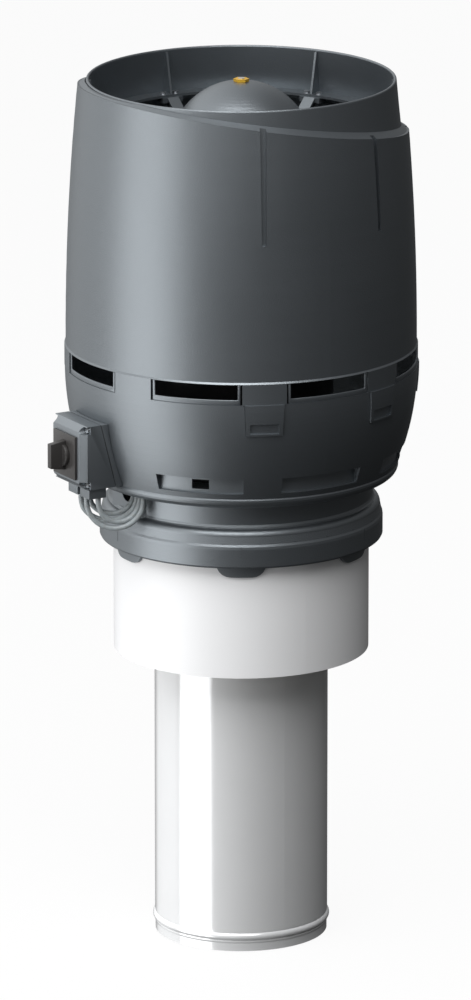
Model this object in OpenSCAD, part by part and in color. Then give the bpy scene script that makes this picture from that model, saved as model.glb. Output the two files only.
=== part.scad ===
// Roof exhaust fan: steel duct, insulated outer pipe, moulded bowl and hood,
// centrifugal impeller on an external-rotor motor, and a side safety switch.
// Millimetres. Z runs up the duct axis from the duct's lower end; the switch faces -Y.
// Angles are measured about Z from the switch side, towards +X.

/* [Duct and outer pipe] */
// Outer diameter of the steel duct tube
duct_d = 199; // [190:1:204]
// Wall of the steel duct tube
duct_wall = 1; // [0.8:0.1:1.4]
// Length of bare duct below the outer pipe
duct_free = 339; // [250:1:450]
// Height of the rolled bead above the duct's lower end
bead_z = 17; // [14:1:40]
// How far the bead stands out
bead_out = 2.3; // [1.5:0.1:3]
// Outer diameter of the white outer pipe
pipe_d = 292; // [288:1:298]
// Wall of the outer pipe
pipe_wall = 4; // [3:0.5:6]
// Length of outer pipe that shows below the collar
pipe_free = 133; // [100:1:180]

/* [Collar] */
// Wall of the neck that sleeves the outer pipe
neck_wall = 4.1; // [3.5:0.1:6]
// How far the rim stands out from the neck
rim_out = 11.4; // [9:0.2:16]
// Height of the collar from its lower edge to the neck
collar_h = 46; // [42:1:60]
// Height of the neck up to the bowl floor
neck_h = 38; // [34:1:50]
// Wall of the collar's rim and deck
collar_wall = 3; // [2.5:0.1:4]
// How far the six lugs hang below the rim
lug_drop = 13.5; // [8:0.5:20]
// Width of a lug at the rim
lug_w = 56; // [40:1:70]
// Half width of the flat cable pad on the neck
pad_half = 34; // [28:1:38]
// Diameter of the open cable hole in the pad
pad_hole_d = 25; // [18:1:30]

/* [Bowl and hood] */
// Diameter at the seam between bowl and hood
seam_d = 401.6; // [396:0.2:406]
// Height of the bowl from its lower edge to the seam
bowl_h = 126.5; // [120:0.5:140]
// Radius of the bowl's side curve
bowl_arc = 308; // [290:1:400]
// Wall of the bowl and of the hood
shell_wall = 3; // [2.5:0.1:4]
// Height of the drain slots above the seam
slot_h = 24; // [18:1:30]
// Height of the outlet rim above the seam
hood_h = 331; // [310:1:380]
// Radius of the hood's slow side curve
hood_arc = 3090; // [2600:10:4000]
// Slant of the hood's top edge, degrees
hood_slant = 9.5; // [7:0.1:10]
// Height of the hood's top edge above the seam, on the axis
hood_edge = 298; // [290:1:302]
// Width of the sloped ledge at the hood's top edge
ledge_w = 9; // [7:0.5:10]

/* [Outlet] */
// Outer diameter of the outlet rim
rim_d = 351; // [340:1:356]
// Width of the inner shelf
shelf_w = 17; // [12:1:24]
// Number of vanes and of motor arms
vanes = 6; // [5:1:8]
// Diameter of the domed motor cover
dome_d = 164; // [150:1:170]
// Across flats of the dome nut
nut_af = 15.5; // [13:0.5:18]
// Height of the dome nut
nut_h = 3; // [2.5:0.5:6]

/* [Impeller and motor] */
// Outer diameter of the impeller
wheel_d = 225; // [200:5:250]
// Number of backward-curved blades
blades = 7; // [6:1:9]
// Width of a blade at its outer end
blade_w = 41; // [36:1:50]
// Diameter of the inlet nozzle's throat
throat_d = 148; // [130:1:152]
// Diameter of the motor's rotor can
can_d = 100; // [94:1:110]
// Height of the motor's rotor can
can_h = 67; // [60:1:80]
// Diameter of the motor shaft
shaft_d = 12; // [10:1:14]

/* [Safety switch] */
// Width and height of the switch housing
box_w = 74; // [70:1:84]
// Distance from the duct axis to the housing's front face
box_front = 228; // [224:1:240]
// Bevel round the housing's front face
box_bevel = 7; // [4:0.5:8]
// Side of the square front plate
plate_w = 50; // [44:1:52]
// Length of the handle's grip
grip_len = 34; // [28:1:40]
// Width of the handle's grip
grip_w = 8; // [5:0.5:10]
// Diameter of the leads
lead_d = 6.2; // [5:0.2:6.8]

/* [Hidden] */
$fn = 96;
fit = 0.3;
eps = 0.02;
far = 900;

duct_r = duct_d / 2;
pipe_r = pipe_d / 2;
neck_in = pipe_r + fit;
neck_r = neck_in + neck_wall;
rim_r = neck_r + rim_out;
seam_r = seam_d / 2;
z_pipe = duct_free;
z_collar = z_pipe + pipe_free;
z_neck = z_collar + collar_h;
z_floor = z_neck + neck_h;
floor_t = 4;
z_bowl = z_floor - 10.5;
z_seam = z_bowl + bowl_h;
z_slot = z_seam + slot_h;
z_rim = z_seam + hood_h;
z_pipe_top = z_floor - 32;

deck_z = z_collar + 30;
pad_y = neck_r - 1;
lugs = 6;

octants = 8;
octant = 360 / octants;
slot_half = 13.9;
frame_half = 14.7;
tab_half = 7.2;
frame_base = 6;
window_half = 15.75;
window_lift = 18.5;
window_h = 19;
window_z = z_bowl + window_lift;
window_r = bowl_r(window_z) - 4;
bolt_r = neck_in - 10;
latch_r = seam_r - 12;
tongue_h = 36;
tongue_out = 2;
tongue_sink = 1.4;
tongue_tabs = [1:6];
panel_w = 33;
panel_h = 12;
groove_z = z_seam + 181;
groove_deep = 5;
edge_r = hood_r(z_seam + hood_edge) + 1;
lead_y = -153.2;
grommet_r = lead_d / 2 + 0.5;
lip_r = neck_r + 14;
foot_r = seam_r - 31;

ring_flare = 5;
z_shelf = z_rim - 53;
shelf_t = 3;
rim_t = 3.5;
ring_low_r = rim_d / 2 + ring_flare;
shelf_in = ring_low_r - rim_t - shelf_w - 2;
arm_t = 6;
pad_r = shelf_in + 6;
pad_x = 8;

dome_r = dome_d / 2;
dome_wall = 3;
z_dome = z_rim - 4 - dome_r;
z_hub = z_dome - 27;
hub_t = 4;
hub_in = 58;
mount_r = 64;
plate_r = 72;
pot_r = 52;
z_pot = z_hub + 36;
pot_lid = 4;
plate_t = 5;
z_plate = z_hub - hub_t - plate_t;
can_r = can_d / 2;
can_wall = 2.5;
z_can = z_plate - 9 - can_h;
wheel_t = 2.5;
wheel_r = wheel_d / 2;
z_wheel = z_can - wheel_t;
z_blade = z_wheel - blade_w;
throat_r = throat_d / 2;
eye_r = throat_r + 6;
shroud_drop = 17;
z_eye = z_blade - shroud_drop;
nozzle_t = 1.5;
z_nozzle = z_eye - 20;
duct_in_r = duct_r + 3;
inlet_wall = 2.5;
magnet_t = 4;
air_gap = 0.8;
core_r = can_r - can_wall - magnet_t - air_gap;
shaft_r = shaft_d / 2;
ring_gap = 0.1;
race_t = 4.35;
tube_in = shaft_r + 2 * race_t + ring_gap;
tube_r = tube_in + 3;
bearing_h = 10;
z_stack = z_can + 12;
stack_h = can_h - 20;
bearing_places = [z_can + 14, z_plate - 8];
teeth = 9;
blade_arc = 60;
stud_r = 4;

box_half = box_w / 2;
z_box = z_bowl + 12.5;
z_box_top = z_box + box_w;
box_lean = bowl_r(z_box_top) - bowl_r(z_box);
base_t = 5;
gasket_t = 1;
box_wall = 3;
lid_front = 5.5;
z_switch = z_box + 35.5;
plate_thick = 3;
spindle_r = 3;
spindle_gap = 0.05;
notch_r = 4.2;
notch_in = 5;
notch_deep = 11;
notch_x = box_half - notch_in;
notch_heights = [z_box + notch_in, z_box_top - notch_in];
gland_h = 12;
z_gland = z_box - gland_h;
sides = 8;

plastic = [0.28, 0.30, 0.32];
dark = [0.20, 0.20, 0.20];
steel = [0.75, 0.76, 0.78];

// Hand-chosen points of each lead, from its gland to its grommet
left_route = [[-5, -206, 546], [-5, -206, 536], [-3, -203, 525], [3, -194, 516], [12, -181, 512.5],
    [21, -168, 516], [28, -158, 526], [30, -153.6, 538], [30, -153.2, 556]];
back_route = [[2, -199, 546], [2, -199, 539], [4, -196, 530], [9, -187, 522.5], [15, -174, 520.5],
    [20, -163, 525], [22.3, -155.5, 534], [22.5, -153.2, 545], [22.5, -153.2, 556]];
inner_route = [[27, -202, 546], [27, -201.5, 536], [28, -197, 525], [30.5, -187, 517], [34, -174.5, 515.5],
    [36.5, -163, 521], [37.5, -155.2, 532], [37.5, -153.2, 543], [37.5, -153.2, 556]];
outer_route = [[17, -211, 546], [17, -211, 535], [19, -207, 523], [24, -197.5, 512.5], [31, -183.5, 508],
    [38, -169.5, 511.5], [43, -159, 521.5], [45, -154, 534], [45, -153.2, 556]];
inside_route = [[30, -153.2, 561], [30, -153.2, 572], [36, -157, 600], [52, -168, 650], [66, -174, 710],
    [78, -168, 770], [82, -163, 830], [82, -159, 880], [80, -148, 908], [73, -130, 913], [62, -108, 896],
    [52, -89, 881], [45, -78, 872], [39, -67, 867.5], [35.5, -60.5, 869], [34.3, -58, 874], [34.3, -58, 880]];

// Where each lead starts and ends
gland_places = [for (route = [left_route, back_route, outer_route, inner_route]) route[0]];
lead_places = [for (route = [left_route, back_route, inner_route, outer_route]) route[len(route) - 1][0]];

// Outer radius of the bowl at a height
function bowl_r(z) = seam_r - bowl_arc + sqrt(bowl_arc * bowl_arc - pow(z_seam - z, 2));
// Outer radius of the hood at a height above the slots
function hood_r(z) = seam_r - 1 - hood_arc + sqrt(hood_arc * hood_arc - pow(max(0, z - z_slot), 2));
// Outer radius of the outlet ring at a height
function ring_r(z) = rim_d / 2 + ring_flare * (z_rim - z) / (z_rim - z_shelf);
// Points of a quarter round or other arc
function arc_points(cx, cz, r, a0, a1, n) =
    [for (i = [0:n]) let (a = a0 + (a1 - a0) * i / n) [cx + r * cos(a), cz + r * sin(a)]];
// Point on a smooth curve through four neighbours
function curve_point(a, b, c, d, t) = 0.5 * (2 * b + (c - a) * t + (2 * a - 5 * b + 4 * c - d) * t * t
    + (3 * b - a - 3 * c + d) * t * t * t);
function curve(p, n) = [for (i = [0:len(p) - 2]) for (k = [0:n - 1])
    curve_point(p[max(0, i - 1)], p[i], p[i + 1], p[min(len(p) - 1, i + 2)], k / n), p[len(p) - 1]];
function unit(v) = v / norm(v);
// A closed tube swept along points, square to the path
module swept_tube(route, r, n) {
    p = curve(route, n);
    m = len(p);
    pts = [for (i = [0:m - 1]) let (
            t = i == 0 || i == m - 1 ? [0, 0, i == 0 && p[1][2] < p[0][2] ? -1 : 1]
                : unit(p[i + 1] - p[i - 1]),
            u = unit(cross([0.94, 0.34, 0.02], t)),
            v = cross(t, u))
        for (k = [0:sides - 1]) let (a = 360 * k / sides) p[i] + r * (u * cos(a) + v * sin(a))];
    walls = [for (i = [0:m - 2]) for (k = [0:sides - 1])
        let (q = (k + 1) % sides, a = i * sides, b = a + sides)
        for (face = [[a + k, b + k, b + q], [a + k, b + q, a + q]]) face];
    first = [for (k = [0:sides - 1]) k];
    last = [for (k = [0:sides - 1]) m * sides - 1 - k];
    polyhedron(points = pts, faces = concat(walls, [first], [last]));
}
// Copies about Z at equal angles
module around(n, start) {
    for (k = [0:n - 1]) rotate([0, 0, start + k * 360 / n]) children();
}
module cylinder_at(r, z, h) {
    translate([0, 0, z]) cylinder(h = h, r = r);
}
module ring(r0, r1, z0, z1) {
    translate([0, 0, z0])
        difference() {
            cylinder(h = z1 - z0, r = r1);
            translate([0, 0, -1]) cylinder(h = z1 - z0 + 2, r = r0);
        }
}
// A wedge of a ring about the switch side
module sector(half, r0, r1, z0, z1) {
    reach = 2 * r1;
    intersection() {
        ring(r0, r1, z0, z1);
        translate([0, 0, z0 - 1]) linear_extrude(z1 - z0 + 2)
            polygon([[0, 0], [-reach * tan(half), -reach], [reach * tan(half), -reach]]);
    }
}
// A pan-head screw pointing down from its seat
module screw(d, head_d, head_h, length) {
    cylinder(h = head_h, d = head_d, $fn = 24);
    translate([0, 0, -length]) cylinder(h = length + eps, d = d, $fn = 20);
}
// A side profile in Y and Z, extruded across X
module across(width) {
    translate([-width / 2, 0, 0]) rotate([90, 0, 90]) linear_extrude(width) children();
}

// Steel duct with its rolled bead and a short cuff
module duct_tube() {
    low_r = duct_r - 0.6;
    top = z_floor + 16;
    bend = 5;
    outline = concat([[low_r - duct_wall, 0], [low_r, 0], [low_r, bead_z - 8], [duct_r, bead_z - 6]],
        arc_points(duct_r + bead_out - bend, bead_z, bend, -60, 60, 8),
        [[duct_r, bead_z + 7], [duct_r, top], [duct_r - duct_wall, top], [duct_r - duct_wall, bead_z + 7]],
        arc_points(duct_r + bead_out - bend - duct_wall, bead_z, bend, 60, -60, 8),
        [[duct_r - duct_wall, bead_z - 6], [low_r - duct_wall, bead_z - 8]]);
    color(steel) rotate_extrude() polygon(outline);
}
module casing_pipe() {
    color("white") ring(pipe_r - pipe_wall, pipe_r, z_pipe, z_pipe_top);
}
module pipe_insulation() {
    color([0.9, 0.9, 0.86]) ring(duct_r, pipe_r - pipe_wall, z_pipe + 2, z_pipe_top);
}
// Half outline of the collar: rim, small shoulder, rounded step and neck
module collar_outline() {
    round_r = 8;
    z_round = z_neck - 10;
    polygon(concat([[neck_in - 1, z_collar], [neck_r, z_collar], [neck_r, deck_z - 2],
            [rim_r - collar_wall, deck_z - 8], [rim_r - collar_wall, z_collar + 1],
            [rim_r - 1, z_collar], [rim_r, z_collar + 2], [rim_r, z_collar + 22],
            [rim_r - 0.4, z_collar + 25], [rim_r - 1.5, z_collar + 27.5]],
        arc_points(neck_r + 0.2, z_round, round_r, 0, 75, 8),
        [[neck_r + 0.9, z_neck - 0.8], [neck_r, z_neck + 2], [neck_r, z_floor], [neck_in - 20, z_floor],
            [neck_in - 20, z_floor - 4], [neck_in - 1, z_floor - 4]]));
}
module lug() {
    bow = 16;
    rise = lug_drop + 0.8;
    translate([0, 0, z_collar - lug_drop])
        rotate([90, 0, 0])
        linear_extrude(rim_r)
        polygon(concat([for (a = [0:18:90]) [-lug_w / 2 + bow * (1 - cos(a)), rise * (1 - sin(a))]],
            [for (a = [90:-18:0]) [lug_w / 2 - bow * (1 - cos(a)), rise * (1 - sin(a))]]));
}
module base_collar() {
    hole_z = z_floor - 16;
    color(plastic) difference() {
        union() {
            rotate_extrude() collar_outline();
            around(lugs, 0) intersection() {
                lug();
                ring(neck_in - 1, neck_r - 0.4, z_collar - lug_drop, z_collar + 1);
            }
            // Stiffening ribs under the deck
            around(24, 7.5) translate([-1, -rim_r + 1.5, z_collar + 5])
                cube([2, rim_r - neck_r - 0.5, 24]);
            // Flat pad for the leads, with slanted sides
            translate([0, 0, z_neck - 4]) linear_extrude(z_floor - z_neck + 4)
                polygon([[-pad_half - 10, -pad_y + 10], [-pad_half, -pad_y], [pad_half, -pad_y],
                    [pad_half + 10, -pad_y + 10],
                    [0, -neck_in + 30]]);
        }
        translate([0, 0, z_collar - lug_drop - 1])
            cylinder(h = z_floor - 3 - z_collar + lug_drop, r = neck_in);
        translate([0, 0, z_floor - 5]) cylinder(h = 6, r = neck_in - 20);
        // Face of the pad
        translate([-pad_half, -pad_y - 10, z_neck + 1]) cube([2 * pad_half, 10, z_floor - z_neck]);
        // Open hole in the pad
        translate([0, -neck_in + 15, hole_z]) rotate([90, 0, 0]) cylinder(h = 60, d = pad_hole_d);
        // Marks on the rim above each lug
        around(lugs, 0) translate([-0.4, -rim_r - 1, z_collar + 11]) cube([0.8, 1.6, 17]);
        around(6, 30) translate([0, -bolt_r, z_floor - 6]) cylinder(h = 8, d = 4.4, $fn = 24);
    }
}
// Half outline of the bowl, shrunk by its wall for the inside
module bowl_outline(t) {
    inside = t > 0;
    z_arc = inside ? z_floor + floor_t + 2 : z_bowl + 12;
    z_top = z_seam + (inside ? 1 : 0);
    polygon(concat([[0, z_top], [seam_r - t, z_top]],
        [for (i = [0:14]) let (z = z_seam - (z_seam - z_arc) * i / 14) [bowl_r(z) - t, z]],
        inside ? [[bowl_r(z_arc) - t - 1, z_floor + floor_t], [0, z_floor + floor_t]]
        : concat(arc_points(foot_r, z_bowl + 9.5, 9.5, 5, -85, 6), [[0, z_bowl]])));
}
// Drain-slot frames that stand on the bowl's edge, open at the top
module drain_frames() {
    color(plastic) around(octants, 0) difference() {
        sector(frame_half, seam_r - shell_wall + 0.4, seam_r - 0.6, z_seam + eps, z_slot - 0.4);
        sector(slot_half, seam_r - shell_wall - 5, seam_r + 5, z_seam + frame_base, z_slot + 1);
    }
}
// Walls round one recessed window, as a block before it is hollowed
module window_back() {
    intersection() {
        sector(window_half + 1, window_r - shell_wall, seam_r, window_z - shell_wall,
            window_z + window_h + shell_wall);
        rotate_extrude() bowl_outline(shell_wall / 2);
    }
}
// Outline of a snap tongue, seen from its own side
module tongue(grow) {
    rotate([90, 0, 0]) translate([0, 0, seam_r - 30])
        linear_extrude(40)
        polygon([[-22.5 - grow, z_seam + 1], [-20.5 - grow, z_seam - tongue_h - grow],
            [20.5 + grow, z_seam - tongue_h - grow], [22.5 + grow, z_seam + 1]]);
}
module lower_bowl() {
    color(plastic) difference() {
        union() {
            difference() {
                rotate_extrude() bowl_outline(0);
                rotate_extrude() bowl_outline(shell_wall);
            }
            for (k = [1:octants - 1]) rotate([0, 0, k * octant]) window_back();
            // Latch posts on the inner wall
            around(2, 90) translate([-7, -seam_r + 2, z_seam - 26]) cube([14, 18, 18]);
        }
        for (k = [1:octants - 1]) rotate([0, 0, k * octant])
            sector(window_half, window_r, seam_r + 5, window_z, window_z + window_h);
        // Small wire openings in the windows beside the switch
        for (k = [1, octants - 1]) rotate([0, 0, k * octant])
            translate([-10, -seam_r, window_z + 4]) cube([20, 30, 11]);
        // Hollow under the floor that takes the neck and the leads
        translate([0, 0, z_bowl - 1]) cylinder(h = z_floor - z_bowl + 1, r = lip_r);
        translate([0, 0, z_floor - 1]) cylinder(h = floor_t + 2, r = duct_in_r + inlet_wall + fit);
        // Seats of the snap tongues
        for (k = tongue_tabs) rotate([0, 0, octant * (k + 0.5)]) difference() {
            tongue(0.5);
            rotate_extrude() bowl_outline(tongue_sink + fit);
        }
        around(6, 30) translate([0, -bolt_r, z_floor - 1]) cylinder(h = 8, d = 4.4, $fn = 24);
        around(2, 90) translate([0, -latch_r, z_seam - 24]) cylinder(h = 20, d = 4.4, $fn = 24);
        for (x = lead_places) translate([x, lead_y, z_floor - 1])
            cylinder(h = floor_t + 2, r = grommet_r, $fn = 24);
    }
}
// Half outline of the hood, shrunk by its wall for the inside
module hood_outline(t) {
    low = z_seam - (t > 0 ? 1 : 0);
    top = z_rim + 4;
    polygon(concat([[0, low], [seam_r + 0.4 - t, low], [seam_r + 0.4 - t, z_slot],
        [seam_r - 1 - t, z_slot + 2]],
        [for (i = [1:12]) let (z = z_slot + 2 + (top - z_slot - 2) * i / 12) [hood_r(z) - t, z]],
        [[0, top]]));
}
// Space below the slanted top edge, bevelled to the ledge; drop lowers it for the inside
module below_edge(drop) {
    run = ledge_w + 4;
    low_r = edge_r - 1.5 - 0.4 * drop;
    translate([0, 0, z_seam + hood_edge - drop])
        rotate([-hood_slant, 0, 0]) {
            translate([-far / 2, -far / 2, -far]) cube([far, far, far]);
            translate([0, 2.3, -eps]) cylinder(h = 0.7 * run, r1 = low_r, r2 = low_r - run);
        }
}
module ring_body(t) {
    rotate_extrude() polygon([[0, z_shelf - 8], [ring_r(z_shelf) + t, z_shelf - 8],
        [ring_r(z_shelf) + t, z_shelf], [rim_d / 2 + t, z_rim + 10], [0, z_rim + 10]]);
}
// Long groove that narrows down the hood, grown sideways for the channel's wall
module groove(grow, deep) {
    intersection() {
        translate([0, 0, groove_z - grow]) rotate([90, 0, 0]) translate([0, 0, edge_r - groove_deep - 8])
            linear_extrude(40)
            polygon([[-2.6 - grow, 0], [2.6 + grow, 0], [3.8 + grow, z_rim - groove_z],
                [-3.8 - grow, z_rim - groove_z]]);
        difference() {
            rotate_extrude() hood_outline(-2);
            rotate_extrude() hood_outline(deep);
        }
    }
}
module hood_shell() {
    color(plastic) difference() {
        union() {
            intersection() {
                union() {
                    difference() {
                        rotate_extrude() hood_outline(0);
                        intersection() {
                            rotate_extrude() hood_outline(shell_wall);
                            below_edge(shell_wall + 1.2);
                        }
                    }
                    // Channels that the grooves sink into
                    for (k = tongue_tabs) rotate([0, 0, octant * (k + 0.5)]) intersection() {
                        groove(shell_wall - 0.5, groove_deep + 2);
                        rotate_extrude() hood_outline(shell_wall / 2);
                    }
                }
                below_edge(0);
                translate([0, 0, z_seam - 1]) cylinder(h = hood_h - 0.5, r = far / 2);
            }
            // Snap tongues that lie in their seats on the bowl
            for (k = tongue_tabs) rotate([0, 0, octant * (k + 0.5)]) intersection() {
                tongue(0);
                difference() {
                    rotate_extrude() bowl_outline(-tongue_out);
                    rotate_extrude() bowl_outline(tongue_sink);
                }
            }
        }
        // Cut back between the tabs, down to the slots
        for (k = [0:octants - 1]) rotate([0, 0, k * octant])
            sector(octant / 2 - tab_half, seam_r - 20, seam_r + 5, z_seam - 2, z_slot);
        // Framed panel in each tongue
        for (k = tongue_tabs) rotate([0, 0, octant * (k + 0.5)]) difference() {
            translate([-panel_w / 2, -seam_r - 5, z_seam - tongue_h + 2]) cube([panel_w, 30, panel_h]);
            rotate_extrude() bowl_outline(0.4);
        }
        for (k = tongue_tabs) rotate([0, 0, octant * (k + 0.5)]) groove(0, groove_deep);
        ring_body(fit);
    }
}
// Outlet ring: leaning wall, inner shelf, vanes and ears towards the hood
module outlet_ring() {
    wall_low = ring_r(z_shelf);
    color(plastic) difference() {
        union() {
            rotate_extrude() polygon(concat(
                arc_points(rim_d / 2 - rim_t / 2, z_rim - rim_t / 2, rim_t / 2, 0, 180, 6),
                [[wall_low - rim_t, z_shelf + shelf_t], [shelf_in, z_shelf + shelf_t], [shelf_in, z_shelf],
                    [wall_low - rim_t, z_shelf], [wall_low - rim_t, z_shelf - 8], [wall_low, z_shelf - 8],
                    [wall_low, z_shelf]]));
            around(vanes, 30) across(2.5) polygon([[-rim_d / 2 + 1.5, z_rim - 3],
                [-rim_d / 2 + 5.5, z_rim - 3],
                [-shelf_in - 1, z_shelf + 1], [-wall_low + 1.5, z_shelf + 1]]);
            // Ears, cut back below the hood's sloping roof
            intersection() {
                around(vanes, 30) translate([-9, -seam_r, z_shelf - 8])
                    cube([18, seam_r - wall_low + 2, 5]);
                rotate_extrude() hood_outline(shell_wall + fit);
                below_edge(shell_wall + 1.2 + fit);
            }
        }
        around(vanes, 30) for (x = [-pad_x, pad_x]) translate([x, -pad_r, z_shelf - 1])
            cylinder(h = shelf_t + 2, d = 4.4, $fn = 24);
    }
}
// Six arms and the hub ring that carry the motor
module motor_carrier() {
    tip = z_shelf - arm_t;
    color(plastic) difference() {
        union() {
            ring(hub_in, dome_r + 3, z_hub - hub_t, z_hub);
            ring(dome_r + fit, dome_r + 3, z_hub - eps, z_hub + 6);
            ring(dome_r, dome_r + 3, z_hub - 14, z_hub - hub_t + eps);
            around(vanes, 30) {
                // Web of the arm with its flange
                across(arm_t) polygon([[-dome_r - 1, z_hub], [-dome_r - 1, z_hub - 14],
                    [-shelf_in + 2, tip - 12], [-pad_r - 5, tip], [-pad_r - 5, z_shelf],
                        [-shelf_in + 2, z_shelf]]);
                across(arm_t + 8) polygon([[-dome_r - 1, z_hub], [-dome_r - 1, z_hub - 2.5],
                    [-shelf_in + 2, z_shelf - 3.5], [-shelf_in + 2, z_shelf]]);
                translate([-pad_x - 5, -pad_r - 5, tip]) cube([2 * pad_x + 10, pad_r + 7 - shelf_in, arm_t]);
            }
        }
        around(vanes, 30) for (x = [-pad_x, pad_x]) translate([x, -pad_r, tip - 1])
            cylinder(h = arm_t + 2, d = 3.6, $fn = 24);
        around(4, 45) translate([0, -mount_r, z_hub - hub_t - 1]) cylinder(h = hub_t + 2, d = 4.4, $fn = 24);
    }
}
// Domed cover with its straight skirt and a flat seat for the nut
module dome_cover() {
    inner_r = dome_r - dome_wall;
    hole_r = stud_r + 0.2;
    top = asin(hole_r / inner_r);
    color(plastic) rotate_extrude() polygon(concat([[inner_r, z_hub], [dome_r, z_hub]],
        arc_points(0, z_dome, dome_r, 0, 86, 24), [[hole_r, z_dome + dome_r - 0.2]],
        arc_points(0, z_dome, inner_r, 90 - top, 0, 24)));
}
module dome_nut() {
    color([0.85, 0.65, 0.15]) translate([0, 0, z_dome + dome_r - 0.2]) difference() {
        cylinder(h = nut_h, d = nut_af / cos(30), $fn = 6);
        translate([0, 0, -1]) cylinder(h = nut_h + 2, r = stud_r);
    }
}
module dome_stud() {
    z_stud = z_pot + pot_lid;
    color(steel) translate([0, 0, z_stud]) cylinder(h = z_dome + dome_r + nut_h + 0.6 - z_stud, r = stud_r);
}
module duct_gasket() {
    color(dark) ring(duct_r, duct_in_r - eps, z_floor + 5, z_floor + 13);
}
// Plastic duct from the bowl floor up to the nozzle, with flanges at both ends
module inlet_duct() {
    top = z_nozzle;
    color(dark) difference() {
        union() {
            ring(duct_in_r, duct_in_r + inlet_wall, z_floor, top);
            ring(duct_in_r, duct_in_r + 20, z_floor + floor_t, z_floor + floor_t + 3);
            ring(duct_in_r, duct_in_r + 14, top - 3, top);
            around(12, 0) across(2) polygon([[-duct_in_r - 1, z_floor + floor_t + 2],
                [-duct_in_r - 18, z_floor + floor_t + 2],
                [-duct_in_r - inlet_wall, z_floor + 40], [-duct_in_r - 1, z_floor + 40]]);
        }
        around(6, 15) translate([0, -duct_in_r - 9, top - 4]) cylinder(h = 5, d = 3.4, $fn = 24);
    }
}
// Spun bell mouth that feeds the impeller's eye
module inlet_nozzle() {
    bell = z_eye + 6 - z_nozzle;
    lead_in = 12;
    color(steel) difference() {
        rotate_extrude() polygon(concat(
            [[duct_in_r + 14, z_nozzle], [duct_in_r + 14, z_nozzle + nozzle_t]],
            [for (i = [0:8]) let (a = i * 11.25)
                [throat_r + nozzle_t + lead_in * (1 - sin(a)), z_nozzle + nozzle_t + (bell - nozzle_t)
                    * (1 - cos(a))]],
            [for (i = [8:-1:0]) let (a = i * 11.25)
                [throat_r + lead_in * (1 - sin(a)), z_nozzle + bell * (1 - cos(a))]]));
        around(6, 15) translate([0, -duct_in_r - 9, z_nozzle - 1]) cylinder(h = 5, d = 3.4, $fn = 24);
    }
}
module nozzle_screws() {
    color(steel) around(6, 15) translate([0, -duct_in_r - 9, z_nozzle + nozzle_t]) screw(3.3, 6.5, 2, 8);
}
// Stator flange with the bearing tube
module motor_plate() {
    color([0.7, 0.7, 0.7]) difference() {
        union() {
            ring(tube_in, plate_r, z_plate, z_plate + plate_t);
            ring(tube_in, tube_r, z_can + 12, z_plate + eps);
            around(8, 22.5) translate([-1.5, -plate_r + 6, z_plate - 4])
                cube([3, plate_r - tube_r - 5, 4 + eps]);
        }
        around(4, 45) translate([0, -mount_r, z_plate - 1]) cylinder(h = plate_t + 2, d = 4, $fn = 24);
        translate([0, 0, z_plate - 5]) cylinder(h = plate_t + 6, r = tube_in);
    }
}
module motor_screws() {
    color(steel) around(4, 45) translate([0, -mount_r, z_hub]) screw(3.9, 7.5, 3, hub_t + plate_t);
}
// Electronics pot inside the dome
module motor_controller() {
    color(dark) translate([0, 0, z_hub - hub_t]) difference() {
        union() {
            cylinder(h = z_pot + pot_lid - z_hub + hub_t, r = pot_r);
            around(16, 0) translate([-1, -pot_r - 3, 6]) cube([2, 5, z_pot - z_hub + hub_t - 10]);
        }
        translate([0, 0, -1]) cylinder(h = 7, r = tube_r + 2);
    }
}
module stator_core() {
    color([0.5, 0.5, 0.52]) translate([0, 0, z_stack]) linear_extrude(stack_h) difference() {
        union() {
            circle(r = tube_r + 6);
            for (k = [0:teeth - 1]) rotate(k * 360 / teeth) {
                translate([-3, -core_r + 2]) square([6, core_r - tube_r - 4]);
                intersection() {
                    difference() {
                        circle(r = core_r);
                        circle(r = core_r - 3);
                    }
                    polygon([[0, 0], [-core_r * 0.2, -core_r * 1.05], [core_r * 0.2, -core_r * 1.05]]);
                }
            }
        }
        circle(r = tube_r);
    }
}
module stator_windings() {
    color([0.72, 0.40, 0.20]) for (k = [0:teeth - 1]) rotate([0, 0, k * 360 / teeth])
        difference() {
            translate([-5, -core_r + 3.4, z_stack - 4]) cube([10, core_r - tube_r - 13.5, stack_h + 8]);
            translate([-3, -core_r, z_stack]) cube([6, core_r, stack_h]);
        }
}
module bearing_outer_rings() {
    color(steel) for (z = bearing_places) ring(shaft_r + race_t + ring_gap, tube_in, z, z + bearing_h);
}
module bearing_inner_rings() {
    color(steel) for (z = bearing_places) ring(shaft_r, shaft_r + race_t, z, z + bearing_h);
}
module rotor_shaft() {
    color(steel) translate([0, 0, z_can - wheel_t])
        cylinder(h = z_plate + plate_t - 2 - z_can + wheel_t, r = shaft_r);
}
// Deep-drawn rotor can, open at the top
module rotor_can() {
    color([0.35, 0.35, 0.36]) difference() {
        union() {
            cylinder_at(can_r, z_can, can_h);
            ring(can_r - 1, can_r + 8, z_can, z_can + 2.5);
        }
        cylinder_at(can_r - can_wall, z_can + 3, can_h);
        cylinder_at(shaft_r, z_can - 1, 10);
        around(6, 0) translate([0, -can_r - 4, z_can - 1]) cylinder(h = 5, d = 3.4, $fn = 24);
    }
    color([0.35, 0.35, 0.36]) ring(shaft_r, shaft_r + 5, z_can + 3 - eps, z_can + 9);
}
module rotor_magnets() {
    poles = 8;
    color([0.25, 0.25, 0.27]) for (k = [0:poles - 1]) rotate([0, 0, (k + 0.5) * 360 / poles])
        sector(180 / poles - 1, can_r - can_wall - magnet_t, can_r - can_wall, z_stack - 2,
            z_stack + stack_h + 2);
}
module impeller_backplate() {
    color(dark) difference() {
        cylinder_at(wheel_r, z_wheel, wheel_t);
        cylinder_at(shaft_r, z_wheel - 1, wheel_t + 2);
        around(6, 0) translate([0, -can_r - 4, z_wheel - 1]) cylinder(h = 5, d = 3.4, $fn = 24);
    }
}
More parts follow.
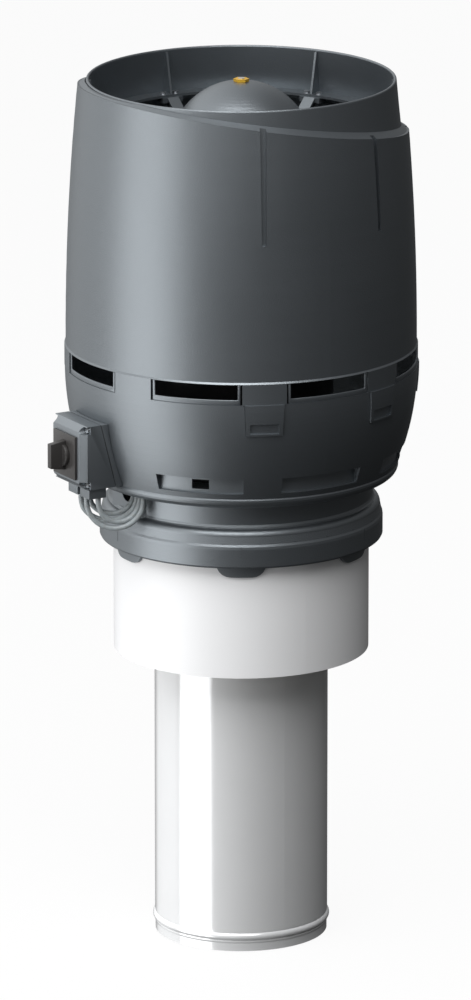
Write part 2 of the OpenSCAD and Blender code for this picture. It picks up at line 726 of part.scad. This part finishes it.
// Curve of the shroud from its eye outwards, moved by dr and dz
function shroud_curve(dr, dz) = [for (a = [0:9:72])
    [eye_r + 22 * (1 - cos(a)) + dr, z_eye + (shroud_drop - 3.5) * sin(a) + dz]];
// Half outline of the air passage between backplate and shroud
module passage_outline() {
    polygon(concat(shroud_curve(0, 0), [[wheel_r, z_blade], [wheel_r, z_wheel], [eye_r, z_wheel]]));
}
module impeller_blades() {
    lean = 38;
    inner = eye_r + 3;
    color(dark) intersection() {
        rotate_extrude() passage_outline();
        cylinder_at(wheel_r - 0.5, z_eye, 90);
        around(blades, 0) translate([0, 0, z_eye]) linear_extrude(z_wheel - z_eye)
            intersection() {
                // Backward-curved blade, a thin arc of constant radius
                translate([blade_arc * cos(lean), -inner - blade_arc * sin(lean)]) difference() {
                    circle(r = blade_arc + 1);
                    circle(r = blade_arc - 1);
                }
                difference() {
                    circle(r = wheel_r);
                    circle(r = inner);
                }
                translate([-wheel_r, -wheel_r - 1]) square([wheel_r + 24, wheel_r]);
            }
    }
}
module impeller_shroud() {
    curve_in = shroud_curve(0, 0);
    last = len(curve_in) - 1;
    color(dark) rotate_extrude() polygon(concat(shroud_curve(1.5, -1.8), [[wheel_r, z_blade - 2],
        [wheel_r, z_blade]],
        [for (i = [last:-1:0]) curve_in[i]]));
}
module impeller_screws() {
    color(steel) around(6, 0) translate([0, -can_r - 4, z_wheel]) mirror([0, 0, 1]) screw(3.3, 6.5, 2.2, 4.5);
}
module carrier_screws() {
    color(steel) around(vanes, 30) for (x = [-pad_x, pad_x]) translate([x, -pad_r, z_shelf + shelf_t])
        screw(3.5, 7, 2.4, shelf_t + arm_t - 1);
}
module bowl_screws() {
    color(steel) around(6, 30) translate([0, -bolt_r, z_floor + floor_t]) screw(4.2, 9, 3, floor_t + 6);
}
module latch_screws() {
    color(steel) around(2, 90) translate([0, -latch_r, z_seam - 8]) screw(4.2, 10, 4, 14);
}
// Y of the sloping joint between switch base and lid, at a height
function lean_y(z) = -(bowl_r(z_box) + box_lean * (z - z_box) / box_w + base_t);
// Wall plate of the switch, shaped to the bowl
module switch_base() {
    color(plastic) difference() {
        across(box_w) polygon([[lean_y(z_box), z_box], [lean_y(z_box_top), z_box_top],
            [-bowl_r(z_box_top) + 12, z_box_top], [-bowl_r(z_box) + 12, z_box]]);
        rotate_extrude($fn = 240) bowl_outline(-fit);
        for (x = [-1, 1]) for (z = notch_heights) translate([x * notch_x, lean_y(z) + 5, z])
            rotate([90, 0, 0]) cylinder(h = 10, d = 3.4, $fn = 24);
    }
}
module lid_gasket() {
    color(dark) difference() {
        translate([0, -eps, 0]) across(box_w - 2) polygon([[lean_y(z_box + 1), z_box + 1],
            [lean_y(z_box + 1) - gasket_t + 2 * eps, z_box + 1],
            [lean_y(z_box_top - 1) - gasket_t + 2 * eps, z_box_top - 1],
                [lean_y(z_box_top - 1), z_box_top - 1]]);
        translate([-box_half + 12, -box_front, z_box + 12]) cube([box_w - 24, box_front, box_w - 24]);
        for (x = [-1, 1]) for (z = notch_heights) translate([x * notch_x, lean_y(z) + 5, z])
            rotate([90, 0, 0]) cylinder(h = 10, d = 3.6, $fn = 24);
    }
}
// Bevelled switch cover with open corner notches for its screws
module switch_lid() {
    color(plastic) difference() {
        intersection() {
            across(box_w) polygon([[lean_y(z_box) - gasket_t, z_box], [-box_front + box_bevel, z_box],
                [-box_front, z_box + box_bevel], [-box_front, z_box_top - box_bevel],
                [-box_front + box_bevel, z_box_top], [lean_y(z_box_top) - gasket_t, z_box_top]]);
            translate([0, 0, z_box - 1]) linear_extrude(box_w + 2)
                polygon([[-box_half, 0], [-box_half, -box_front + box_bevel],
                    [-box_half + box_bevel, -box_front],
                    [box_half - box_bevel, -box_front], [box_half, -box_front + box_bevel], [box_half, 0]]);
        }
        difference() {
            translate([-box_half + box_wall, -box_front + lid_front, z_box + box_wall])
                cube([box_w - 2 * box_wall, box_front, box_w - 2 * box_wall]);
            for (x = [-1, 1]) for (z = notch_heights)
                translate([x * notch_x - 6, -box_front, z - 6]) cube([12, box_front, 12]);
        }
        for (x = [-1, 1]) for (z = notch_heights) {
            translate([x * notch_x, -box_front + notch_deep, z]) rotate([90, 0, 0])
                cylinder(h = 30, r = notch_r);
            translate([x > 0 ? notch_x : -box_half - 5, -box_front - 5, z - notch_r])
                cube([box_half - notch_x + 5, notch_deep + 5, 2 * notch_r]);
            translate([x * notch_x, 0, z]) rotate([90, 0, 0]) cylinder(h = box_front, d = 3.6, $fn = 24);
        }
        translate([0, 0, z_switch]) rotate([90, 0, 0]) cylinder(h = box_front + 5, r = spindle_r + 1);
        for (x = gland_places) translate([x[0], x[1], z_box - 1]) cylinder(h = 5, d = lead_d + 1, $fn = 24);
    }
}
module lid_screws() {
    color(steel) for (x = [-1, 1]) for (z = notch_heights)
        translate([x * notch_x, -box_front + notch_deep, z]) rotate([90, 0, 0])
            screw(3.3, 6.6, 2.4, lean_y(z) + box_front - notch_deep + 3);
}
module switch_plate() {
    color(dark) difference() {
        translate([-plate_w / 2, -box_front - plate_thick, z_switch - plate_w / 2])
            cube([plate_w, plate_thick, plate_w]);
        translate([0, 0, z_switch]) rotate([90, 0, 0]) cylinder(h = box_front + 5, r = spindle_r + 1);
    }
}
// Contact block behind the lid, with the bearing hole of the spindle
module switch_block() {
    deep = 20;
    color(dark) difference() {
        translate([-17, -box_front + lid_front, z_switch - 17]) cube([34, deep, 34]);
        translate([0, 0, z_switch]) rotate([90, 0, 0])
            cylinder(h = box_front + 5, r = spindle_r + spindle_gap);
        for (x = [-11, 0, 11]) for (z = [-1, 1])
            translate([x, -box_front + lid_front + deep - 4, z_switch + z * 12])
            rotate([-90, 0, 0]) cylinder(h = 6, d = 5, $fn = 24);
    }
}
module switch_spindle() {
    color(steel) translate([0, -box_front + lid_front + 18, z_switch]) rotate([90, 0, 0])
        cylinder(h = 18 + lid_front + plate_thick + 3, r = spindle_r);
}
// Turning handle: round hub and a bar that narrows towards its front
module switch_knob() {
    back = -box_front - plate_thick - fit;
    front = -box_front - 22;
    color(dark) difference() {
        union() {
            translate([0, back, z_switch]) rotate([90, 0, 0]) cylinder(h = 4, r = 13);
            across(grip_w) polygon([[back, z_switch - grip_len / 2], [back, z_switch + grip_len / 2],
                [front, z_switch + grip_len / 2 - 3], [front, z_switch - grip_len / 2 + 3]]);
        }
        translate([0, -box_front - plate_thick + 1, z_switch]) rotate([90, 0, 0])
            cylinder(h = 4, r = spindle_r);
    }
}
module gland(x0, y0, leads) {
    color(dark) difference() {
        translate([x0, y0, z_gland]) cube([21, 22, gland_h]);
        for (place = leads) translate([place[0], place[1], z_gland + 4])
            cylinder(h = gland_h, d = lead_d + 1, $fn = 24);
    }
}
module gland_left() {
    gland(-15, -217, [gland_places[0], gland_places[1]]);
}
module gland_right() {
    gland(12, -217, [gland_places[2], gland_places[3]]);
}
module cable_grommets() {
    color(dark) for (x = lead_places) translate([x, lead_y, 0]) {
        cylinder_at(grommet_r, z_floor, floor_t + 1);
    }
}
module cable_left() {
    color("gray") swept_tube(left_route, lead_d / 2, 3);
}
module cable_back() {
    color("gray") swept_tube(back_route, lead_d / 2, 3);
}
module cable_inner() {
    color("gray") swept_tube(inner_route, lead_d / 2, 3);
}
module cable_outer() {
    color("gray") swept_tube(outer_route, lead_d / 2, 3);
}
module motor_lead() {
    color(dark) swept_tube(inside_route, lead_d / 2, 3);
}

duct_tube();
casing_pipe();
pipe_insulation();
base_collar();
lower_bowl();
drain_frames();
hood_shell();
outlet_ring();
motor_carrier();
dome_cover();
dome_nut();
dome_stud();
duct_gasket();
inlet_duct();
inlet_nozzle();
nozzle_screws();
motor_plate();
motor_controller();
stator_core();
stator_windings();
bearing_outer_rings();
bearing_inner_rings();
rotor_shaft();
rotor_can();
rotor_magnets();
impeller_backplate();
impeller_blades();
impeller_shroud();
impeller_screws();
motor_screws();
carrier_screws();
bowl_screws();
latch_screws();
switch_base();
switch_lid();
lid_gasket();
lid_screws();
switch_plate();
switch_block();
switch_spindle();
switch_knob();
gland_left();
gland_right();
cable_grommets();
cable_left();
cable_back();
cable_inner();
cable_outer();
motor_lead();
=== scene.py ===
import math

import bmesh
import bpy
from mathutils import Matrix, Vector


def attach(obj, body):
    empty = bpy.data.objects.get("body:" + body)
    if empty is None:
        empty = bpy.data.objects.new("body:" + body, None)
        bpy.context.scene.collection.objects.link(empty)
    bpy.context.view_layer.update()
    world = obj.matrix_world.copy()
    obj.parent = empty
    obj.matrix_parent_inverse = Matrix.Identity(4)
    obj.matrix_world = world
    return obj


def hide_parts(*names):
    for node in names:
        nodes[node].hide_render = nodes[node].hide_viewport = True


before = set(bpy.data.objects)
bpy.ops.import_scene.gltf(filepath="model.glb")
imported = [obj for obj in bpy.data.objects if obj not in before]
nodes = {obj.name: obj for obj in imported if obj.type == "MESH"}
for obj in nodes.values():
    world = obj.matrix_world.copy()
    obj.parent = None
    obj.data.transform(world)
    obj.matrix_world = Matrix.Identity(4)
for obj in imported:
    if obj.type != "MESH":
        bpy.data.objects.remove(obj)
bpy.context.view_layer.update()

# ---- Camera -------------------------------------------------------------------------------
# The photograph was taken from the front right of the switch with a long lens, about ten
# metres away and looking down by fifteen degrees, so upright lines stay almost parallel.
VIEW_BACK = Vector((0.8660, -0.5, 0))
VIEW_RIGHT = Vector((0.5, 0.8660, 0))
VIEW_DOWN = math.radians(15.06)
CAMERA_DISTANCE, CAMERA_LEFT, CAMERA_HEIGHT = 10.194, 0.0065, 3.252
camera_data = bpy.data.cameras.new("camera")
camera_data.sensor_width = camera_data.sensor_height = 36
camera_data.lens = 332.6
camera_data.clip_start, camera_data.clip_end = 0.5, 200
camera = bpy.data.objects.new("camera", camera_data)
bpy.context.collection.objects.link(camera)
camera.location = VIEW_BACK * CAMERA_DISTANCE - VIEW_RIGHT * CAMERA_LEFT + Vector((0, 0, CAMERA_HEIGHT))
looking = -VIEW_BACK * math.cos(VIEW_DOWN) - Vector((0, 0, math.sin(VIEW_DOWN)))
camera.rotation_mode = "QUATERNION"
camera.rotation_quaternion = looking.to_track_quat("-Z", "Y")
bpy.context.scene.camera = camera
bpy.context.scene.view_settings.view_transform = "Standard"


# ---- Leads from the switch --------------------------------------------------------------------
# Four grey-blue sheathed leads hang in loops from the glands under the switch and go up
# through grommets in the bowl's floor. A fifth lead runs inside to the motor. The finish of
# every piece is a Finish: constants sit on its Principled shader, and what changes over the
# surface is written as an expression on Level objects.
class Level:
    """A shader socket that carries one number, for use in Python expressions."""

    def __init__(self, finish, socket):
        self.finish, self.socket = finish, socket

    def maths(self, operation, *values):
        node = self.finish.add("ShaderNodeMath", {"operation": operation}, dict(enumerate(values)))
        return Level(self.finish, node.outputs[0])

    def __add__(self, other):
        return self.maths("ADD", self, other)

    def __sub__(self, other):
        return self.maths("SUBTRACT", self, other)

    def __mul__(self, other):
        return self.maths("MULTIPLY", self, other)


class Finish:
    """One material of the fan, built round its Principled shader."""

    def __init__(self, name, colour, **constants):
        self.material = bpy.data.materials.new(name)
        self.material.use_nodes = True
        self.tree = self.material.node_tree
        self.shader = self.tree.nodes["Principled BSDF"]
        self.colour = (*colour, 1)
        self.shader.inputs["Base Color"].default_value = self.colour
        for socket, value in constants.items():
            self.shader.inputs[socket.replace("_", " ")].default_value = value
        self.place = self.add("ShaderNodeTexCoord").outputs["Object"]

    def add(self, kind, settings=None, values=None):
        """A node of that kind, its settings made first, then the values or links of its sockets."""
        node = self.tree.nodes.new(kind)
        for name, value in (settings or {}).items():
            setattr(node, name, value)
        for name, value in (values or {}).items():
            self.feed(node.inputs[name], value)
        return node

    def feed(self, socket, value):
        value = value.socket if isinstance(value, Level) else value
        if isinstance(value, bpy.types.NodeSocket):
            self.tree.links.new(value, socket)
        else:
            socket.default_value = value

    def stretched(self, scale):
        """The object's coordinates times scale, which shortens a pattern along that axis."""
        return self.add("ShaderNodeMapping", {}, {"Vector": self.place, "Scale": scale}).outputs[0]

    def noise(self, size, detail=3, stretch=None):
        """Noise whose blotches are about size metres across."""
        where = self.stretched(stretch) if stretch else self.place
        node = self.add("ShaderNodeTexNoise", {},
                        {"Vector": where, "Scale": 1 / size, "Detail": detail, "Roughness": 0.5})
        return Level(self, node.outputs["Fac"])

    def cells(self, size):
        """A steady random value for each cell of about size metres."""
        node = self.add("ShaderNodeTexVoronoi", {}, {"Vector": self.place, "Scale": 1 / size})
        return Level(self, node.outputs["Color"])

    def mixed(self, share, low, high):
        """The colour low where share is 0, and high where it is 1."""
        node = self.add("ShaderNodeMix", {"data_type": "RGBA"}, {0: share})
        for socket, value in zip((node.inputs[6], node.inputs[7]), (low, high)):
            self.feed(socket, value if isinstance(value, bpy.types.NodeSocket) else (*value, 1))
        return node.outputs[2]

    def paint(self, socket, value):
        self.feed(self.shader.inputs[socket], value)

    def bump(self, height, distance, strength=1.0):
        node = self.add("ShaderNodeBump", {}, {"Height": height, "Distance": distance, "Strength": strength})
        self.paint("Normal", node.outputs[0])

    def on(self, *names):
        """Puts this finish on CAD nodes."""
        for name in names:
            mesh = nodes[name].data
            mesh.materials.clear()
            mesh.materials.append(self.material)
        return self


LEAD_D, ROUTE_STEPS, SECTION_SIDES = 0.0062, 8, 18
LEAD_ROUTES = {
    "cable_left": [(-5, -206, 546), (-5, -206, 536), (-3, -203, 525), (3, -194, 516), (12, -181, 512.5),
                   (21, -168, 516), (28, -158, 526), (30, -153.6, 538), (30, -153.2, 556)],
    "cable_back": [(2, -199, 546), (2, -199, 539), (4, -196, 530), (9, -187, 522.5), (15, -174, 520.5),
                   (20, -163, 525), (22.3, -155.5, 534), (22.5, -153.2, 545), (22.5, -153.2, 556)],
    "cable_inner": [(27, -202, 546), (27, -201.5, 536), (28, -197, 525), (30.5, -187, 517), (34, -174.5, 515.5),
                    (36.5, -163, 521), (37.5, -155.2, 532), (37.5, -153.2, 543), (37.5, -153.2, 556)],
    "cable_outer": [(17, -211, 546), (17, -211, 535), (19, -207, 523), (24, -197.5, 512.5), (31, -183.5, 508),
                    (38, -169.5, 511.5), (43, -159, 521.5), (45, -154, 534), (45, -153.2, 556)],
    "motor_lead": [(30, -153.2, 561), (30, -153.2, 572), (36, -157, 600), (52, -168, 650), (66, -174, 710),
                   (78, -168, 770), (82, -163, 830), (82, -159, 880), (80, -148, 908), (73, -130, 913),
                   (62, -108, 896), (52, -89, 881), (45, -78, 872), (39, -67, 867.5), (35.5, -60.5, 869),
                   (34.3, -58, 874), (34.3, -58, 880)],
}
sheath = Finish("lead_sheath", (0.30, 0.335, 0.35), Roughness=0.38)
worn = sheath.noise(0.004, detail=4)
sheath.paint("Base Color", sheath.mixed((worn - 0.45) * 1.6, (0.30, 0.335, 0.35), (0.20, 0.19, 0.17)))
sheath.paint("Roughness", worn * 0.2 + 0.3)
sheath.bump(sheath.noise(0.0008), 0.0001, 0.4)


def smooth_route(points, steps):
    """Points in metres of a Catmull-Rom curve through points in millimetres."""
    points = [Vector(p) / 1000 for p in points]
    padded = [points[0]] + points + [points[-1]]
    route = []
    for a, b, c, d in zip(padded, padded[1:], padded[2:], padded[3:]):
        for k in range(steps):
            t = k / steps
            route.append(0.5 * (2 * b + (c - a) * t + (2 * a - 5 * b + 4 * c - d) * t ** 2
                                + (3 * b - a - 3 * c + d) * t ** 3))
    return route + [points[-1]]


def sweep_tree():
    """Geometry Nodes that sweep a round section along a line of points."""
    tree = bpy.data.node_groups.new("lead_sweep", "GeometryNodeTree")
    tree.interface.new_socket("Geometry", in_out="INPUT", socket_type="NodeSocketGeometry")
    radius = tree.interface.new_socket("Radius", in_out="INPUT", socket_type="NodeSocketFloat")
    finish = tree.interface.new_socket("Finish", in_out="INPUT", socket_type="NodeSocketMaterial")
    tree.interface.new_socket("Geometry", in_out="OUTPUT", socket_type="NodeSocketGeometry")
    start, end = tree.nodes.new("NodeGroupInput"), tree.nodes.new("NodeGroupOutput")
    curve = tree.nodes.new("GeometryNodeMeshToCurve")
    section = tree.nodes.new("GeometryNodeCurvePrimitiveCircle")
    section.inputs["Resolution"].default_value = SECTION_SIDES
    sweep = tree.nodes.new("GeometryNodeCurveToMesh")
    sweep.inputs["Fill Caps"].default_value = True
    smooth = tree.nodes.new("GeometryNodeSetShadeSmooth")
    realize = tree.nodes.new("GeometryNodeRealizeInstances")
    dress = tree.nodes.new("GeometryNodeSetMaterial")
    for out, into in ((start.outputs[0], curve.inputs[0]),
                      (start.outputs[1], section.inputs["Radius"]),
                      (curve.outputs[0], sweep.inputs["Curve"]),
                      (section.outputs[0], sweep.inputs["Profile Curve"]),
                      (sweep.outputs[0], smooth.inputs[0]),
                      (smooth.outputs[0], realize.inputs[0]),
                      (realize.outputs[0], dress.inputs[0]),
                      (start.outputs[2], dress.inputs["Material"]),
                      (dress.outputs[0], end.inputs[0])):
        tree.links.new(out, into)
    return tree, radius.identifier, finish.identifier


def settled(source, name):
    """The evaluated mesh of source as a plain object, and source is removed."""
    graph = bpy.context.evaluated_depsgraph_get()
    mesh = bpy.data.meshes.new_from_object(source.evaluated_get(graph))
    bpy.data.objects.remove(source)
    made = bpy.data.objects.new(name, mesh)
    bpy.context.collection.objects.link(made)
    return made


lead_tree, lead_radius, lead_finish = sweep_tree()
for name, points in LEAD_ROUTES.items():
    route = smooth_route(points, ROUTE_STEPS)
    line = bpy.data.meshes.new(name + "_line")
    line.from_pydata(route, [(i, i + 1) for i in range(len(route) - 1)], [])
    source = bpy.data.objects.new(name + "_line", line)
    bpy.context.collection.objects.link(source)
    sweep = source.modifiers.new("sweep", "NODES")
    sweep.node_group = lead_tree
    sweep[lead_radius] = LEAD_D / 2
    sweep[lead_finish] = sheath.material
    lead = settled(source, "lead_motor" if name == "motor_lead" else name.replace("cable_", "lead_"))
    run = sum((b - a).length for a, b in zip(route, route[1:]))
    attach(lead, "housing")
    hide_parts(name)

# ---- Studio -----------------------------------------------------------------------------------
# A plain pale floor in a white surround. A tall key light and a weaker one behind it stand
# low on the left, where upright walls mirror them. A third light hangs above and in front,
# and the surround gets darker towards the right and the ground.
FLOOR_REACH, FLOOR_DROP = 30, 0.001
floor_mesh = bpy.data.meshes.new("floor")
floor_mesh.from_pydata([(x * FLOOR_REACH, y * FLOOR_REACH, -FLOOR_DROP)
                        for x, y in ((-1, -1), (1, -1), (1, 1), (-1, 1))], [], [(0, 1, 2, 3)])
floor = bpy.data.objects.new("floor", floor_mesh)
bpy.context.collection.objects.link(floor)
ground = Finish("pale_floor", (0.8, 0.8, 0.8), Roughness=0.9)
seen = ground.add("ShaderNodeLightPath").outputs["Is Camera Ray"]
glow = ground.add("ShaderNodeEmission", {}, {"Color": (1, 1, 1, 1), "Strength": 1.0})
pale = ground.add("ShaderNodeMixShader", {}, {0: 0.92, 1: ground.shader.outputs[0], 2: glow.outputs[0]})
clear = ground.add("ShaderNodeBsdfTransparent")
shown = ground.add("ShaderNodeMixShader", {}, {0: seen, 1: clear.outputs[0], 2: pale.outputs[0]})
ground.tree.links.new(shown.outputs[0], ground.tree.nodes["Material Output"].inputs["Surface"])
floor_mesh.materials.append(ground.material)

BRIGHT_TURN = math.radians(-100)
BRIGHT_SIDE = VIEW_BACK * math.cos(BRIGHT_TURN) + VIEW_RIGHT * math.sin(BRIGHT_TURN)
world = bpy.data.worlds.new("surround")
bpy.context.scene.world = world
world.use_nodes = True
sky = world.node_tree


def sky_node(kind, settings, values):
    node = sky.nodes.new(kind)
    for name, value in settings.items():
        setattr(node, name, value)
    for name, value in values.items():
        if isinstance(value, bpy.types.NodeSocket):
            sky.links.new(value, node.inputs[name])
        else:
            node.inputs[name].default_value = value
    return node


heading = sky_node("ShaderNodeTexCoord", {}, {}).outputs["Generated"]
facing = sky_node("ShaderNodeVectorMath", {"operation": "DOT_PRODUCT"}, {0: heading, 1: tuple(BRIGHT_SIDE)})
shade = sky_node("ShaderNodeMapRange", {"interpolation_type": "SMOOTHSTEP"},
                 {"Value": facing.outputs["Value"], "From Min": -0.5, "From Max": 1.0,
                  "To Min": 0.18, "To Max": 1.4})
path = sky_node("ShaderNodeLightPath", {}, {})
backdrop = sky_node("ShaderNodeMath", {"operation": "MAXIMUM"},
                    {0: path.outputs["Is Camera Ray"], 1: path.outputs["Is Transmission Ray"]})
rise = sky_node("ShaderNodeSeparateXYZ", {}, {"Vector": heading}).outputs["Z"]
ground_fall = sky_node("ShaderNodeMapRange", {}, {"Value": rise, "From Min": -0.35, "From Max": 0.4,
                                                  "To Min": 0.10, "To Max": 1.0})
fall = sky_node("ShaderNodeMath", {"operation": "MULTIPLY"},
                {0: shade.outputs["Result"], 1: ground_fall.outputs["Result"]})
level = sky_node("ShaderNodeMath", {"operation": "MAXIMUM"}, {0: backdrop.outputs[0], 1: fall.outputs[0]})
sky.nodes["Background"].inputs["Color"].default_value = (1, 1, 1, 1)
sky.links.new(level.outputs[0], sky.nodes["Background"].inputs["Strength"])


AIM = Vector((0, 0, 0.6))


def softbox(name, turn, rise, distance, width, height, power):
    """An area light turned left (-) or right (+) of the camera and raised, aimed at the fan."""
    data = bpy.data.lights.new(name, "AREA")
    data.shape, data.size, data.size_y, data.energy = "RECTANGLE", width, height, power
    lamp = bpy.data.objects.new(name, data)
    bpy.context.collection.objects.link(lamp)
    turn, rise = math.radians(turn), math.radians(rise)
    side = VIEW_BACK * math.cos(turn) + VIEW_RIGHT * math.sin(turn)
    lamp.location = AIM + (side * math.cos(rise) + Vector((0, 0, math.sin(rise)))) * distance
    lamp.rotation_mode = "QUATERNION"
    lamp.rotation_quaternion = (AIM - lamp.location).to_track_quat("-Z", "Y")
    lamp.visible_camera = False


softbox("key_light", turn=-64, rise=-18, distance=3.2, width=2.6, height=3.4, power=58)
softbox("side_light", turn=-122, rise=-18, distance=3.2, width=3.2, height=3.4, power=15)
softbox("top_light", turn=-8, rise=54, distance=3.0, width=2.6, height=2.6, power=92)

# ---- Galvanised duct ---------------------------------------------------------------------------
# Bright zinc-coated sheet, rolled to a tube with one bead and a short cuff. Zinc dulls in
# small crystals, and rolling leaves fine lines round the tube.
zinc = Finish("galvanised_sheet", (0.80, 0.81, 0.82), Metallic=0.35, Roughness=0.16)
crystals = zinc.cells(0.006)
rolling = zinc.noise(0.5, detail=2, stretch=(1, 1, 120))
zinc.paint("Base Color", zinc.mixed(zinc.noise(0.05), (0.86, 0.87, 0.88), (0.90, 0.91, 0.92)))
zinc.paint("Roughness", crystals * 0.02 + rolling * 0.03 + 0.13)
zinc.on("duct_tube", "inlet_nozzle")

# ---- Outer pipe and insulation -------------------------------------------------------------------
# Smooth white plastic pipe with a faint drawn grain, and fibre insulation between the pipes.
white = Finish("white_pipe", (0.80, 0.81, 0.83), Roughness=0.35)
white.paint("Base Color", white.mixed(white.noise(0.08), (0.80, 0.805, 0.815), (0.83, 0.835, 0.845)))
white.paint("Roughness", white.noise(0.3, stretch=(40, 40, 1)) * 0.12 + 0.30)
white.on("casing_pipe")
wool = Finish("fibre_wool", (0.62, 0.60, 0.54), Roughness=0.95)
wool.paint("Base Color", wool.mixed(wool.noise(0.004, detail=5), (0.50, 0.48, 0.42), (0.72, 0.70, 0.64)))
wool.bump(wool.noise(0.002, detail=5), 0.0015)
wool.on("pipe_insulation")

# ---- Moulded grey shells ---------------------------------------------------------------------------
# Collar, bowl, hood and outlet ring are injection moulded in one dark blue-grey plastic with
# a fine eroded grain that spreads the light from the left in a wide soft sheen.
grey = Finish("grey_moulding", (0.027, 0.030, 0.034), Roughness=0.38, Specular_IOR_Level=1.0, IOR=2.0,
              Specular_Tint=(0.86, 0.94, 1.0, 1.0))
grain = grey.noise(0.0013, detail=2)
cloud = grey.noise(0.12, detail=2)
grey.paint("Base Color", grey.mixed(cloud, (0.022, 0.025, 0.028), (0.026, 0.029, 0.033)))
grey.paint("Roughness", cloud * 0.06 + grain * 0.05 + 0.34)
grey.bump(grain, 0.0003, 0.7)
grey.on("base_collar", "lower_bowl", "drain_frames", "hood_shell", "outlet_ring", "motor_carrier", "dome_cover")

# ---- Nut, stud and screws -----------------------------------------------------------------------------
# The dome nut is yellow passivated, and all other fasteners are zinc plated.
yellow = Finish("yellow_passivation", (0.80, 0.48, 0.06), Metallic=0.8, Roughness=0.5)
yellow.paint("Base Color", yellow.mixed(yellow.noise(0.003), (0.74, 0.42, 0.03), (0.85, 0.55, 0.08)))
yellow.on("dome_nut")
plated = Finish("zinc_plating", (0.66, 0.67, 0.69), Metallic=1.0, Roughness=0.28)
plated.paint("Roughness", plated.noise(0.002) * 0.2 + 0.2)
plated.on("dome_stud", "nozzle_screws", "bearing_outer_rings", "bearing_inner_rings", "rotor_shaft",
          "impeller_screws", "motor_screws", "carrier_screws", "bowl_screws", "latch_screws", "lid_screws",
          "switch_spindle")

# ---- Inner parts ----------------------------------------------------------------------------------------
# Black glass-filled plastic for the impeller and duct, rubber seals, cast and rolled motor metal.
black = Finish("black_moulding", (0.022, 0.022, 0.024), Roughness=0.5)
black.bump(black.noise(0.0012), 0.0001, 0.5)
black.paint("Roughness", black.noise(0.02) * 0.1 + 0.42)
black.on("inlet_duct", "impeller_backplate", "impeller_blades", "impeller_shroud", "motor_controller")
rubber = Finish("rubber", (0.02, 0.02, 0.02), Roughness=0.75)
rubber.paint("Roughness", rubber.noise(0.003) * 0.15 + 0.65)
rubber.on("duct_gasket", "lid_gasket", "cable_grommets")
cast = Finish("cast_aluminium", (0.55, 0.56, 0.57), Metallic=1.0, Roughness=0.45)
cast.bump(cast.noise(0.001), 0.0002, 0.6)
cast.paint("Roughness", cast.noise(0.01) * 0.15 + 0.4)
cast.on("motor_plate")
layers = Finish("lamination", (0.30, 0.30, 0.31), Metallic=1.0, Roughness=0.5)
layers.bump(layers.noise(0.3, stretch=(1, 1, 2000)), 0.0001)
layers.paint("Roughness", layers.noise(0.01) * 0.2 + 0.4)
layers.on("stator_core", "rotor_can", "rotor_magnets")
copper = Finish("winding_copper", (0.60, 0.26, 0.10), Metallic=1.0, Roughness=0.35)
copper.bump(copper.noise(0.3, stretch=(1, 1, 1200)), 0.0003)
copper.paint("Roughness", copper.noise(0.004) * 0.2 + 0.28)
copper.on("stator_windings")

# ---- Rounded edges -----------------------------------------------------------------------------------------
# Moulded pieces whose edges catch the light are copies of their CAD meshes with the small
# edge radius that a mould leaves. Edges sharper than ROUND_ABOVE get it.
ROUND_ABOVE, SHARP_ABOVE, FLAT_BELOW = math.radians(32), math.radians(28), math.radians(0.5)
SAME_POINT = 2e-6


def rounded(finish, slot, radius, *names):
    """Copies of CAD nodes with their flat faces merged and their edges rounded."""
    for name in names:
        form = bmesh.new()
        form.from_mesh(nodes[name].data)
        bmesh.ops.remove_doubles(form, verts=form.verts, dist=SAME_POINT)
        bmesh.ops.dissolve_limit(form, angle_limit=FLAT_BELOW, verts=form.verts, edges=form.edges)
        mesh = bpy.data.meshes.new(name + "_form")
        form.to_mesh(mesh)
        form.free()
        source = bpy.data.objects.new(name + "_form", mesh)
        bpy.context.collection.objects.link(source)
        edge = source.modifiers.new("edge", "BEVEL")
        edge.width, edge.segments, edge.limit_method = radius, 3, "ANGLE"
        edge.angle_limit = ROUND_ABOVE
        piece = settled(source, "moulded_" + name)
        piece.data.shade_smooth()
        piece.data.set_sharp_from_angle(angle=SHARP_ABOVE)
        piece.data.materials.clear()
        piece.data.materials.append(finish.material)
        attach(piece, "switch_handle" if name == "switch_knob" else "housing")
        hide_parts(name)


# ---- Safety switch ------------------------------------------------------------------------------------------
# Bevelled switch housing in dark grey plastic with a black front plate and turning handle.
shell = Finish("switch_moulding", (0.060, 0.066, 0.072), Roughness=0.40, Specular_IOR_Level=1.0, IOR=2.0,
               Specular_Tint=(0.86, 0.94, 1.0, 1.0))
shell.paint("Roughness", shell.noise(0.001) * 0.08 + 0.34)
shell.bump(shell.noise(0.0009), 0.00008, 0.5)
shell.on("switch_base", "switch_lid", "gland_left", "gland_right")
jet = Finish("switch_black", (0.036, 0.034, 0.033), Roughness=0.40)
jet.paint("Roughness", jet.noise(0.0012) * 0.1 + 0.3)
jet.bump(jet.noise(0.0009), 0.00008, 0.4)
jet.on("switch_plate", "switch_block", "switch_knob")

rounded(shell, "switch_moulding", 0.0012, "switch_base", "switch_lid", "gland_left", "gland_right")
rounded(jet, "switch_black", 0.0006, "switch_plate", "switch_knob")
rounded(grey, "grey_moulding", 0.0006, "drain_frames")
